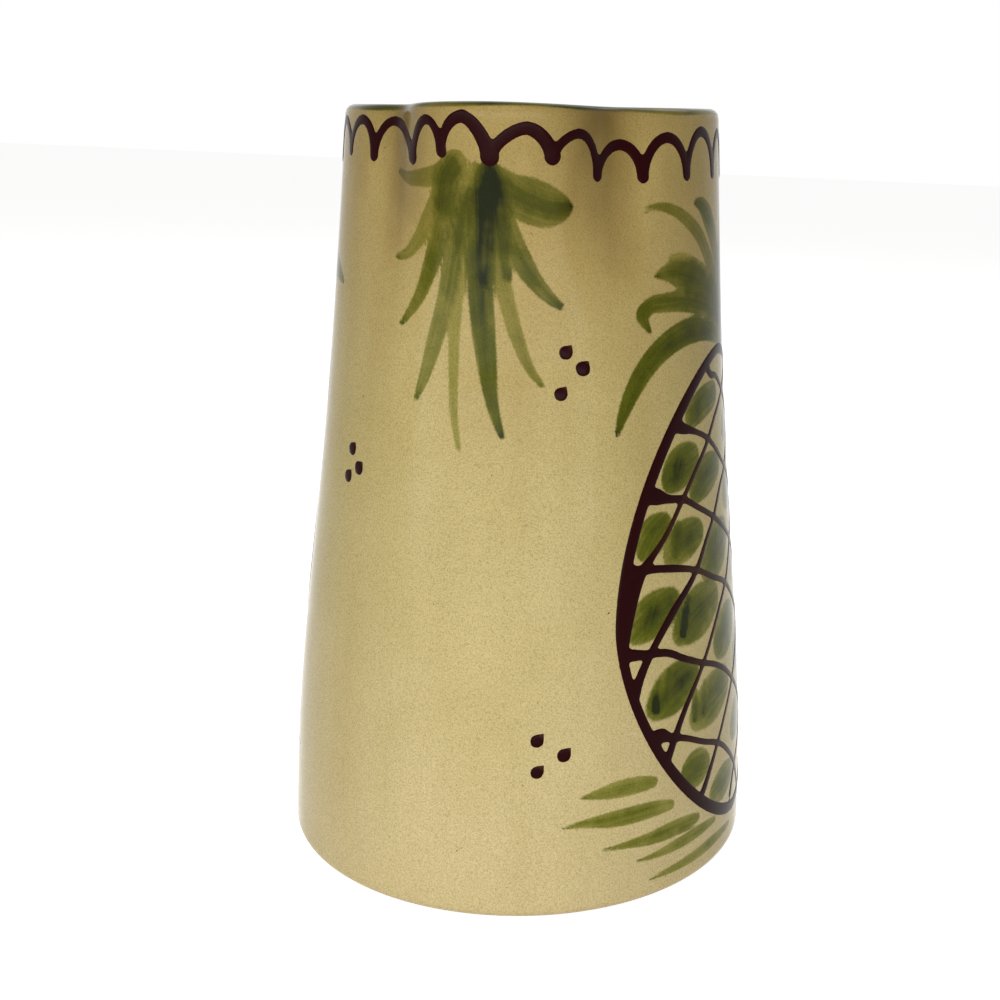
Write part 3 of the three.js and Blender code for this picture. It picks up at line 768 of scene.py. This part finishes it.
class PITCHER_OT_throw_body(bpy.types.Operator):
    """Throws the body from its half section, pinches the pouring lip and brushes on the green"""
    bl_idname = "pitcher.throw_body"
    bl_label = "Throw and glaze the body"

    def execute(self, context):
        wall = PotWall(context.scene.pitcher_sizes)
        deselect_all()
        # One vertex is extruded along the half section and the line is spun into the pot.
        bpy.ops.mesh.primitive_circle_add(vertices=3, radius=MM, location=(0, 0, 0))
        piece = named("glazed_body")
        bpy.ops.object.mode_set(mode="EDIT")
        bpy.ops.mesh.select_all(action="SELECT")
        bpy.ops.mesh.merge(type="CENTER")
        section = wall.profile()
        for step in np.diff(section, axis=0) * MM:
            bpy.ops.mesh.extrude_region_move(TRANSFORM_OT_translate={"value": (step[0], 0, step[1])})
        bpy.ops.mesh.select_all(action="SELECT")
        bpy.ops.mesh.spin(steps=COLUMNS, angle=2 * math.pi, center=(0, 0, 0), axis=(0, 0, 1))
        bpy.ops.mesh.select_all(action="SELECT")
        bpy.ops.mesh.remove_doubles(threshold=0.01 * MM)
        bpy.ops.mesh.normals_make_consistent(inside=False)
        bpy.ops.object.mode_set(mode="OBJECT")

        thrown = coordinates(piece.data)
        radius = np.hypot(thrown[:, 0], thrown[:, 1])
        outside = (radius > wall.plain_radius(thrown[:, 2]) - wall.wall / 2) & (thrown[:, 2] > 1)
        points = wall.pinch(thrown)
        set_coordinates(piece.data, points)
        edge, tone, grain = paint(wall, points, outside)
        # The green line brushed along the rim
        degrees = wall.degrees(points)
        wander = np.radians(degrees)
        waver = 0.25 * np.sin(3 * wander + 1) + 0.15 * np.sin(11 * wander)
        band = thrown[:, 2] - (wall.height - RIM_LINE_DROP + waver)
        on_rim = band > -STROKE_REACH
        edge[on_rim] = np.maximum(edge[on_rim], band[on_rim])
        blob = 1.2 * np.exp(-((degrees + 1) / 2.2) ** 2)
        rim_tone = 1.7 + 0.35 * np.sin(5 * wander) + 0.25 * np.sin(17 * wander + 2) + blob
        tone[on_rim] = np.maximum(tone[on_rim], rim_tone[on_rim] * np.clip(band[on_rim] / 0.8 + 0.5, 0, 1))
        grain[on_rim] = np.stack([degrees[on_rim], band[on_rim], 0 * wander[on_rim]], 1)
        # Glaze gathers where the fingers pressed the wall in, on the outside, and painted shade darkens it
        # there.
        distance = wall.from_lip(points[:, 0], points[:, 1])
        hollow = np.exp(-((distance - CREASE_OFFSET + 4) / CREASE_HALF_WIDTH) ** 2) * outside
        hollow *= np.clip(wall.fade(thrown[:, 2]) * 2.2, 0, 1)
        set_attributes(piece.data, edge=edge, tone=tone, grain=grain, hollow=hollow)
        finished(piece, material_from(tin_glazed_earthenware), "cream_glaze", "jug_body")
        return {"FINISHED"}


class Strap:
    """The pulled strap handle, in millimetres. Distances run along its middle line from its upper end, which
    is buried in the wall."""

    def __init__(self, wall, sizes):
        self.wall = wall
        self.width = sizes.strap_width / MM
        self.thick = sizes.strap_thick / MM
        upper_z = wall.height - UPPER_ROOT_DROP
        widest_z = wall.height - HANDLE_WIDEST_DROP
        upper = np.array([0, float(wall.plain_radius(upper_z)), upper_z])
        lower = np.array([0, float(wall.plain_radius(LOWER_ROOT_Z)), LOWER_ROOT_Z])
        back = np.array([0, float(wall.plain_radius(widest_z)) + sizes.handle_reach / MM, widest_z])
        tilts = np.radians([UPPER_ROOT_TILT, LOWER_ROOT_TILT])
        upper_out, lower_out = (np.array([0, math.cos(tilt), math.sin(tilt)]) for tilt in tilts)
        up = np.array([0, 0, 1.0])
        share = np.linspace(0, 1, 300)
        bend = bezier(np.array([upper, upper + ROOT_PULL * upper_out, back + SHOULDER_PULL * up, back]), share)
        fall = bezier(np.array([back, back - BACK_PULL * up, lower + ROOT_PULL * lower_out, lower]), share)
        self.line = np.concatenate([[upper - ROOT_BURY * upper_out], bend, fall[1:],
                                    [lower - ROOT_BURY * lower_out]])
        self.at = np.concatenate([[0], np.cumsum(np.linalg.norm(np.diff(self.line, axis=0), axis=1))])
        self.length = self.at[-1]
        self.sides = 2 * math.pi * np.arange(STRAP_SIDES) / STRAP_SIDES
        self.fillet_end = {}

    def middle(self, distance):
        return np.stack([np.interp(distance, self.at, self.line[:, k]) for k in range(3)], 1)

    def skin(self, distance, grow=0.0):
        """One point of the skin for each side, at that side's own distance along the line."""
        along = self.middle(distance + 0.5) - self.middle(distance - 0.5)
        along /= np.linalg.norm(along, axis=1)[:, None]
        across = np.array([1.0, 0, 0])
        through = np.cross(along, across)
        cos, sin = np.cos(self.sides), np.sin(self.sides)
        bulge = (np.abs(cos) ** STRAP_EDGE_POWER + np.abs(sin) ** STRAP_EDGE_POWER) ** (-1 / STRAP_EDGE_POWER)
        share = distance / self.length
        root = np.clip(np.minimum(distance, self.length - distance) - ROOT_BURY, 0, None)
        flare = ROOT_FLARE * np.exp(-root / ROOT_FLARE_LENGTH)
        wide = (self.width - TAIL_NARROWING * share + flare) / 2 + grow
        deep = (self.thick - TAIL_THINNING * share + flare) / 2 + grow
        # Two shallow grooves that the pulling hand left down the outer face
        groove = GROOVE_DEPTH * np.clip(root / GROOVE_RUN_IN, 0, 1) * (sin < 0)
        groove *= np.cos(math.pi * cos * bulge * 1.6) ** 2
        return (self.middle(distance) + across * (wide * cos * bulge)[:, None]
                + through * ((deep - groove * (grow == 0)) * sin * bulge)[:, None])

    def rings(self):
        """Rings of the whole handle, from inside the wall at one root to inside it at the other."""
        upper, lower = self.root(False), self.root(True)
        starts, ends = self.fillet_end[False], self.length - self.fillet_end[True]
        shares = np.linspace(0, 1, STRAP_ROWS)[1:-1]
        return np.array([*upper, *(self.skin(starts + (ends - starts) * s) for s in shares), *lower[::-1]])

    def root(self, at_tail):
        """A hollow fillet that leaves the wall and the strap along their own surfaces."""
        def skin(from_end, grow=0.0):
            return self.skin(self.length - from_end if at_tail else from_end, grow)

        tries = np.arange(0, 2 * ROOT_BURY, 0.1)
        gaps = []
        for distance in tries:
            ring = skin(np.full(STRAP_SIDES, distance))
            gaps.append(np.hypot(ring[:, 0], ring[:, 1]) - self.wall.plain_radius(ring[:, 2]))
        exits = tries[(np.array(gaps) > 0).argmax(0)]
        self.fillet_end[at_tail] = exits + FILLET_LENGTH
        square = skin(exits, 1.0) - skin(exits)
        square /= np.linalg.norm(square, axis=1)[:, None]
        foot = skin(exits)
        out = self.wall.normal(self.wall.degrees(foot), foot[:, 2])
        flat = square - out * (square * out).sum(1)[:, None]
        flat /= np.linalg.norm(flat, axis=1)[:, None]
        first = foot + flat * FILLET_SPREAD
        lift = np.hypot(first[:, 0], first[:, 1]) - self.wall.plain_radius(first[:, 2]) + FILLET_BITE
        rings = []
        for share in np.linspace(0, 1, FILLET_ROWS):
            away = flat * (1 - share) + square * share
            ring = skin(exits + FILLET_LENGTH * share ** 2) + away * (FILLET_SPREAD * (1 - share) ** 2)
            rings.append(ring - out * (lift * (1 - share) ** 2)[:, None])
        return [rings[0] - 2 * out, *rings]


class PITCHER_OT_pull_handle(bpy.types.Operator):
    """Pulls the strap handle and works its two joining coils smooth into the wall"""
    bl_idname = "pitcher.pull_handle"
    bl_label = "Pull the handle"

    def execute(self, context):
        sizes = context.scene.pitcher_sizes
        rings = Strap(PotWall(sizes), sizes).rings()
        deselect_all()
        # A grid of the handle's faces is rolled round its middle line, closed along its seam and filled.
        rows = len(rings)
        bpy.ops.mesh.primitive_grid_add(x_subdivisions=STRAP_SIDES, y_subdivisions=rows - 1, size=2)
        piece = named("glazed_handle")
        flat = coordinates(piece.data) * MM
        column = ((flat[:, 0] + 1) / 2 * STRAP_SIDES).round().astype(int) % STRAP_SIDES
        row = ((flat[:, 1] + 1) / 2 * (rows - 1)).round().astype(int)
        set_coordinates(piece.data, rings[row, column])
        bpy.ops.object.mode_set(mode="EDIT")
        bpy.ops.mesh.select_all(action="SELECT")
        bpy.ops.mesh.remove_doubles(threshold=0.01 * MM)
        bpy.ops.mesh.fill_holes(sides=STRAP_SIDES)
        bpy.ops.mesh.select_all(action="SELECT")
        bpy.ops.mesh.normals_make_consistent(inside=False)
        bpy.ops.object.mode_set(mode="OBJECT")
        bare = np.zeros(len(piece.data.vertices))
        set_attributes(piece.data, edge=bare + UNPAINTED, tone=bare, hollow=bare,
                       grain=np.zeros((len(bare), 3)))
        finished(piece, material_from(tin_glazed_earthenware), "cream_glaze",
                 "strap_handle", "upper_joining_coil", "lower_joining_coil")
        return {"FINISHED"}


def round_ends(path):
    """Adds a round end to both ends of a trail."""
    def end(first, second):
        mm_per_degree = math.radians(1) * MEAN_RADIUS
        ahead = (first[:2] - second[:2]) * (mm_per_degree, 1)
        ahead /= max(np.linalg.norm(ahead), 1e-6)
        angles = np.radians(END_ANGLES)
        cap = np.repeat(first[None], len(angles), 0)
        cap[:, :2] += np.sin(angles)[:, None] * first[2] / 2 * ahead / (mm_per_degree, 1)
        cap[:, 2] *= np.cos(angles)
        return cap
    return np.concatenate([end(path[0], path[1]), path, end(path[-1], path[-2])[::-1]])


def settle(wall, points, relief):
    """Lets round trails slump onto the wall: a low dome outside it and a thin bed inside it."""
    degrees = wall.degrees(points)
    out = wall.normal(degrees, points[:, 2])
    proud = ((points - wall.place(degrees, points[:, 2])) * out).sum(1)
    low = np.where(proud > 0, relief, -SLIP_BED) * (1 - np.exp(-np.abs(proud) / SLIP_RISE))
    return points + out * (low - proud)[:, None]


def trail(context, name, trails):
    """Pipes the trails round along the wall, melts their crossings together and lets them settle."""
    sizes = context.scene.pitcher_sizes
    wall = PotWall(sizes)
    paths = [round_ends(smooth_path(points)) for points in trails]
    deselect_all()
    drawn = bpy.data.curves.new(name, "CURVE")
    drawn.dimensions = "3D"
    drawn.bevel_depth = MM
    drawn.bevel_resolution = 3
    drawn.use_fill_caps = True
    middles = []
    for path in paths:
        # The middle lies a little inside the wall, so that the settled edge is shallow.
        middle = wall.place(path[:, 0], path[:, 1])
        middle -= wall.normal(path[:, 0], path[:, 1]) * (TRAIL_SUNK * path[:, 2])[:, None]
        middles.append(middle)
        spline = drawn.splines.new("POLY")
        spline.points.add(len(path) - 1)
        corners = np.concatenate([middle * MM, np.ones((len(path), 1))], 1)
        spline.points.foreach_set("co", corners.ravel())
        spline.points.foreach_set("radius", TRAIL_RADIUS * path[:, 2])
    piece = bpy.data.objects.new(name, drawn)
    context.scene.collection.objects.link(piece)
    context.view_layer.objects.active = piece
    piece.select_set(True)
    bpy.ops.object.convert(target="MESH")
    piece = named(name)
    melt = piece.modifiers.new("melt", "REMESH")
    melt.mode = "VOXEL"
    melt.voxel_size = SLIP_VOXEL * MM
    soften = piece.modifiers.new("soften", "SMOOTH")
    soften.factor = 0.5
    soften.iterations = 4
    for modifier in ("melt", "soften"):
        bpy.ops.object.modifier_apply(modifier=modifier)
    points = coordinates(piece.data)
    set_coordinates(piece.data, settle(wall, points, sizes.slip_relief / MM))
    tree = KDTree(sum(len(middle) for middle in middles))
    for number, place in enumerate(np.concatenate(middles)):
        tree.insert(place, number)
    tree.balance()
    ends = len(END_ANGLES)
    widths = np.concatenate([np.pad(path[ends:-ends, 2], ends, "edge") for path in paths])
    nearest = [tree.find(place)[1] for place in points]
    thickness = (widths[nearest] - THIN_TRAIL) / (THICK_TRAIL - THIN_TRAIL)
    set_attributes(piece.data, load=np.clip(thickness, 0.05, 1))
    finished(piece, material_from(glazed_iron_slip), "brown_slip")


def border_arches():
    """Arches of the border as trails from foot to foot, and the drop at each foot."""
    feet, crests = list(BORDER_FEET), list(BORDER_CRESTS)
    step = (BORDER_FEET[0][0] + 360 - BORDER_FEET[-1][0]) / BORDER_BACK_ARCHES
    for number in range(BORDER_BACK_ARCHES):
        foot = BORDER_FEET[-1][0] + (number + 1) * step
        lift = BORDER_LIFT * math.exp(-((foot - 180) / BORDER_LIFT_SPREAD) ** 2)
        feet.append((foot + math.sin(2.3 * number), BORDER_FOOT_Z + 0.7 * math.sin(1.7 * number) + lift,
                     BORDER_WIDTHS[3] + 0.3 * math.sin(2.9 * number)))
        crests.append((foot - step / 2 - 0.8, BORDER_CREST_Z + 0.6 * math.sin(1.9 * number) + 0.35 * lift,
                       *BORDER_WIDTHS[:3]))
    feet[-1] = (BORDER_FEET[0][0] + 360, *BORDER_FEET[0][1:])
    trails = []
    for number, crest in enumerate(crests):
        for foot, widths in ((feet[number], crest[2:4]), (feet[number + 1], crest[4:2:-1])):
            quarter = []
            # A leg runs into a heavy drop at a slant, and nearly upright into a light one.
            slant = max(1.04, 1.04 + 0.2 * (foot[2] - 3.5))
            for turn in np.radians([0, 14, 30, 48, 68, 90]):
                share = turn / (math.pi / 2)
                quarter.append((crest[0] - 0.96 * (crest[0] - foot[0]) * max(math.cos(turn), 0) ** slant,
                                foot[1] + (crest[1] - foot[1]) * math.sin(turn) ** slant,
                                widths[0] + (widths[1] - widths[0]) * share))
            trails.append(quarter)
    drops = [((at, z + 1.6, 0.85 * wide), (at, z, 0.96 * wide)) for at, z, wide in feet[:-1]]
    return trails + drops


def in_fruit(degrees, z):
    """Below 1 inside the fruit's outline, 1 on it."""
    up = z > FRUIT_CENTRE[1]
    power = np.where(up, FRUIT_UP_POWER, FRUIT_DOWN_POWER)
    tall = np.where(up, FRUIT_UP, FRUIT_DOWN)
    return (np.abs((degrees - FRUIT_CENTRE[0]) / FRUIT_HALF_ANGLE) ** power
            + np.abs((z - FRUIT_CENTRE[1]) / tall) ** power)


def fruit_trails():
    """The fruit's outline, and its lattice cut off where it meets the outline."""
    outline = []
    for turn in np.radians(np.arange(0, 361, 6)):
        cos, sin = math.cos(turn), math.sin(turn)
        power, tall = (FRUIT_UP_POWER, FRUIT_UP) if sin > 0 else (FRUIT_DOWN_POWER, FRUIT_DOWN)
        wide = FRUIT_HALF_ANGLE * math.copysign(abs(cos) ** (2 / power), cos)
        high = tall * math.copysign(abs(sin) ** (2 / power), sin)
        thick = FRUIT_LINE + 0.35 * math.sin(3 * turn + 1)
        outline.append((FRUIT_CENTRE[0] + wide, FRUIT_CENTRE[1] + high, thick))
    trails = [outline]
    for line in LATTICE:
        whole = smooth_path([(*p, LATTICE_LINE)[:3] for p in line])
        kept = whole[in_fruit(whole[:, 0], whole[:, 1]) < 1.02]
        trails.append(kept[::3])
    return trails


class PITCHER_OT_trail_border(bpy.types.Operator):
    """Trails the scalloped border round the rim"""
    bl_idname = "pitcher.trail_border"
    bl_label = "Trail the border"

    def execute(self, context):
        trail(context, "slip_border", border_arches())
        return {"FINISHED"}


class PITCHER_OT_trail_fruit(bpy.types.Operator):
    """Trails the outline and lattice of a pineapple on either side of the handle"""
    bl_idname = "pitcher.trail_fruit"
    bl_label = "Trail the pineapples"

    def execute(self, context):
        right = fruit_trails()
        trail(context, "slip_pineapple_right", right)
        trail(context, "slip_pineapple_left", [turned_to_left(points) for points in right])
        return {"FINISHED"}


class PITCHER_OT_trail_dots(bpy.types.Operator):
    """Drops the threes of dots, and the stray grains beside them"""
    bl_idname = "pitcher.trail_dots"
    bl_label = "Drop the dots"

    def execute(self, context):
        dots = [((at - 0.3, z - 0.3, wide), (at + 0.2, z + 0.3, 0.94 * wide), (at + 1.2, z + 1.5, 0.8))
                for at, z, wide in DOTS]
        grains = [((at, z, wide), (at + 0.2, z + 0.1, wide)) for at, z, wide in GRAINS]
        trail(context, "slip_dots", dots + grains)
        return {"FINISHED"}


def shows_backdrop(tree):
    """1 for the rays that see the white background: the camera's, and those mirrored or let through."""
    rays = node(tree, "LightPath").outputs
    direct = node(tree, "Math", {0: rays["Is Camera Ray"], 1: rays["Is Glossy Ray"]}, operation="MAXIMUM")
    return node(tree, "Math", {0: direct, 1: rays["Is Transmission Ray"]},
                operation="MAXIMUM")


def lamp(name, place, target, wide, high, power):
    """A soft box that faces the pitcher."""
    bpy.ops.object.light_add(type="AREA", location=place)
    made = named(name)
    made.data.shape = "RECTANGLE"
    made.data.size = wide
    made.data.size_y = high
    made.data.energy = power
    made.rotation_euler = (Vector(target) - Vector(place)).to_track_quat("-Z", "Y").to_euler()


class PITCHER_OT_set_stage(bpy.types.Operator):
    """Puts the pitcher on pale paper in soft light, before the photograph's camera"""
    bl_idname = "pitcher.set_stage"
    bl_label = "Set the stage"

    def execute(self, context):
        scene = context.scene
        scene.view_settings.view_transform = "Standard"
        deselect_all()
        bpy.ops.mesh.primitive_plane_add(size=8, location=(0, 0, 0))
        floor = named("paper_floor")
        paper, tree = new_material("pale_paper")
        bright = node(tree, "Math", {0: shows_backdrop(tree), 1: 0.86}, operation="MULTIPLY")
        matt = node(tree, "BsdfDiffuse", {"Color": scene.pitcher_colours.paper})
        white = node(tree, "Emission", {"Color": (1, 1, 1, 1), "Strength": bright})
        total = node(tree, "AddShader", {0: matt, 1: white})
        node(tree, "OutputMaterial", {"Surface": total})
        floor.data.materials.append(paper)

        world = bpy.data.worlds.new("pale_room")
        scene.world = world
        world.use_nodes = True
        tree = world.node_tree
        tree.nodes.clear()
        strength = node(tree, "MapRange", {"Value": shows_backdrop(tree), "To Min": 0.11})
        sky = node(tree, "Background", {"Color": (1, 1, 1, 1), "Strength": strength})
        node(tree, "OutputWorld", {"Surface": sky})

        lamp("window_softbox", (-0.036, -0.599, 0.066), (0, 0, 0.066), 1.4, 0.125, 2.7)
        lamp("front_softbox", (0.04, -0.8, 0.7), (0, 0, 0.1), 0.5, 0.5, 3.6)
        lamp("ceiling_softbox", (0, 0.5, 0.95), (0, 0.06, 0.1), 0.8, 0.8, 4.5)

        bpy.ops.object.camera_add()
        camera = named("photo_camera")
        away, height, round_lip = 0.3982, 0.20296, math.radians(9.5)
        camera.location = (away * math.sin(round_lip), -away * math.cos(round_lip), height)
        heading, pitch, roll = math.radians(5.358), math.radians(15.25), math.radians(2.27)
        turned = Matrix.Rotation(heading, 3, "Z") @ Matrix.Rotation(math.pi / 2 - pitch, 3, "X")
        camera.rotation_euler = (turned @ Matrix.Rotation(roll, 3, "Z")).to_euler()
        camera.data.sensor_width = 36
        camera.data.lens = 53.0
        camera.data.shift_x = -0.1285
        camera.data.clip_start = 0.01
        scene.camera = camera
        return {"FINISHED"}


class PITCHER_PT_tools(bpy.types.Panel):
    """Lists the pitcher's sizes, colours and steps in the sidebar"""
    bl_label = "Pitcher"
    bl_idname = "PITCHER_PT_tools"
    bl_space_type = "VIEW_3D"
    bl_region_type = "UI"
    bl_category = "Pitcher"

    def draw(self, context):
        for group in (context.scene.pitcher_sizes, context.scene.pitcher_colours):
            box = self.layout.box()
            for name in group.__annotations__:
                box.prop(group, name)
        for step in STEPS:
            self.layout.operator(step.bl_idname)


STEPS = (PITCHER_OT_throw_body, PITCHER_OT_pull_handle, PITCHER_OT_trail_border, PITCHER_OT_trail_fruit,
         PITCHER_OT_trail_dots, PITCHER_OT_set_stage)
CLASSES = (PitcherSizes, PitcherColours, *STEPS, PITCHER_PT_tools)


def register():
    for cls in CLASSES:
        bpy.utils.register_class(cls)
    bpy.types.Scene.pitcher_sizes = bpy.props.PointerProperty(type=PitcherSizes)
    bpy.types.Scene.pitcher_colours = bpy.props.PointerProperty(type=PitcherColours)


def unregister():
    del bpy.types.Scene.pitcher_colours
    del bpy.types.Scene.pitcher_sizes
    for cls in reversed(CLASSES):
        bpy.utils.unregister_class(cls)


def main():
    register()
    bpy.ops.pitcher.throw_body()
    bpy.ops.pitcher.pull_handle()
    bpy.ops.pitcher.trail_border()
    bpy.ops.pitcher.trail_fruit()
    bpy.ops.pitcher.trail_dots()
    bpy.ops.pitcher.set_stage()


if __name__ == "__main__":
    main()
